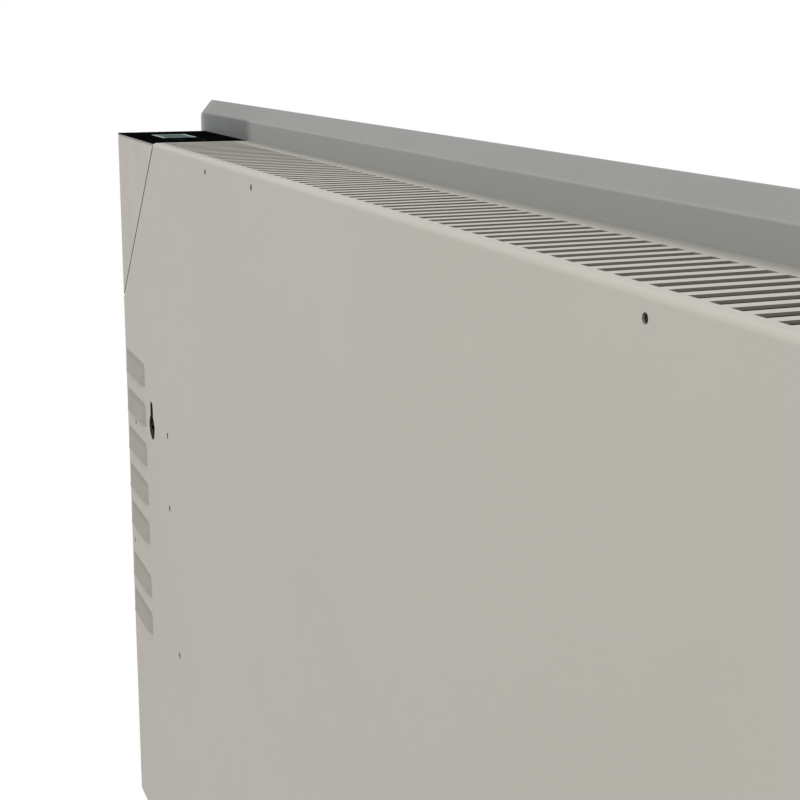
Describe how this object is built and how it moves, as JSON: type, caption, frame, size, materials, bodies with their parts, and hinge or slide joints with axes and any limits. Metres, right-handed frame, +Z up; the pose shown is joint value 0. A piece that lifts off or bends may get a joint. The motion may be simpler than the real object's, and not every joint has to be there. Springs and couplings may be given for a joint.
{
  "type": "panel heater",
  "caption": "Wall-hung electric panel heater: slim louvred casing with a top grille, a larger front panel with a bevelled edge, and a wedge-shaped control module at one top corner.",
  "frame": {"origin": "centre of the rear casing's back face, which faces the wall", "axes": "+X along the heater towards its control end, +Y out of the back towards the wall, +Z up"},
  "size_m": [0.8978, 0.062, 0.4338],
  "materials": {
    "grey_paint": "satin",
    "panel_paint": "satin",
    "grey_housing": "satin",
    "grey_plastic": "matte",
    "black_gloss": "gloss",
    "black_plastic": "matte",
    "lcd": "gloss",
    "circuit_board": "satin",
    "dark_plastic": "satin",
    "green_plastic": "matte",
    "white_plastic": "matte",
    "wire_jacket": "matte",
    "mat_rubber": "matte",
    "galvanised": "satin",
    "steel": "satin",
    "aluminium": "satin",
    "ceramic": "matte"
  },
  "bodies": {
    "heater": {"rear_casing": "grey_paint", "front_panel": "panel_paint", "control_housing": "grey_housing", "display_overlay": "black_gloss", "display_frame": "grey_plastic", "lcd_module": "lcd", "control_board": "circuit_board", "key_mat": "mat_rubber", "corner_bulkhead": "galvanised", "partition": "galvanised", "element_fins": "aluminium", "element_rod": "steel", "element_bracket_inner": "galvanised", "element_bush_inner": "ceramic", "element_bracket_outer": "galvanised", "element_bush_outer": "ceramic", "heat_shield": "galvanised", "shield_screw_1": "galvanised", "shield_screw_2": "galvanised", "overheat_cutout": "black_plastic", "power_board": "circuit_board", "board_post_1": "white_plastic", "board_post_2": "white_plastic", "board_post_3": "white_plastic", "board_post_4": "white_plastic", "relay": "dark_plastic", "power_supply": "black_plastic", "capacitor": "dark_plastic", "heat_sink": "aluminium", "terminal_block": "green_plastic", "switch_body": "black_plastic", "cable_gland": "black_plastic", "gland_nut": "black_plastic", "room_sensor": "black_plastic", "sensor_clip": "white_plastic", "display_ribbon": "wire_jacket", "live_wire": "wire_jacket", "element_wire": "wire_jacket", "return_wire": "wire_jacket", "switch_wire": "wire_jacket", "sensor_wire": "wire_jacket", "housing_screw_1": "galvanised", "housing_screw_2": "galvanised", "panel_screw_1": "galvanised", "panel_screw_2": "galvanised", "panel_screw_3": "galvanised", "panel_screw_4": "galvanised", "panel_screw_5": "galvanised", "panel_screw_6": "galvanised"},
    "power_key": {"key_power": "black_gloss"},
    "mode_key": {"key_mode": "black_gloss"},
    "minus_key": {"key_minus": "black_gloss"},
    "plus_key": {"key_plus": "black_gloss"},
    "rocker": {"mains_rocker": "black_plastic"}
  },
  "joints": [
    {"name": "power_key_press", "type": "slide", "parent": "heater", "child": "power_key", "axis": [0, 0, -1], "range_m": [0, 0.0008], "stiffness_N_per_m": 600},
    {"name": "mode_key_press", "type": "slide", "parent": "heater", "child": "mode_key", "axis": [0, 0, -1], "range_m": [0, 0.0008], "stiffness_N_per_m": 600},
    {"name": "minus_key_press", "type": "slide", "parent": "heater", "child": "minus_key", "axis": [0, 0, -1], "range_m": [0, 0.0008], "stiffness_N_per_m": 600},
    {"name": "plus_key_press", "type": "slide", "parent": "heater", "child": "plus_key", "axis": [0, 0, -1], "range_m": [0, 0.0008], "stiffness_N_per_m": 600},
    {"name": "rocker_tilt", "type": "hinge", "parent": "heater", "child": "rocker", "pos_m": [0.4318, -0.025, 0.092], "axis": [0, -1, 0], "range_deg": [0, 20]}
  ]
}
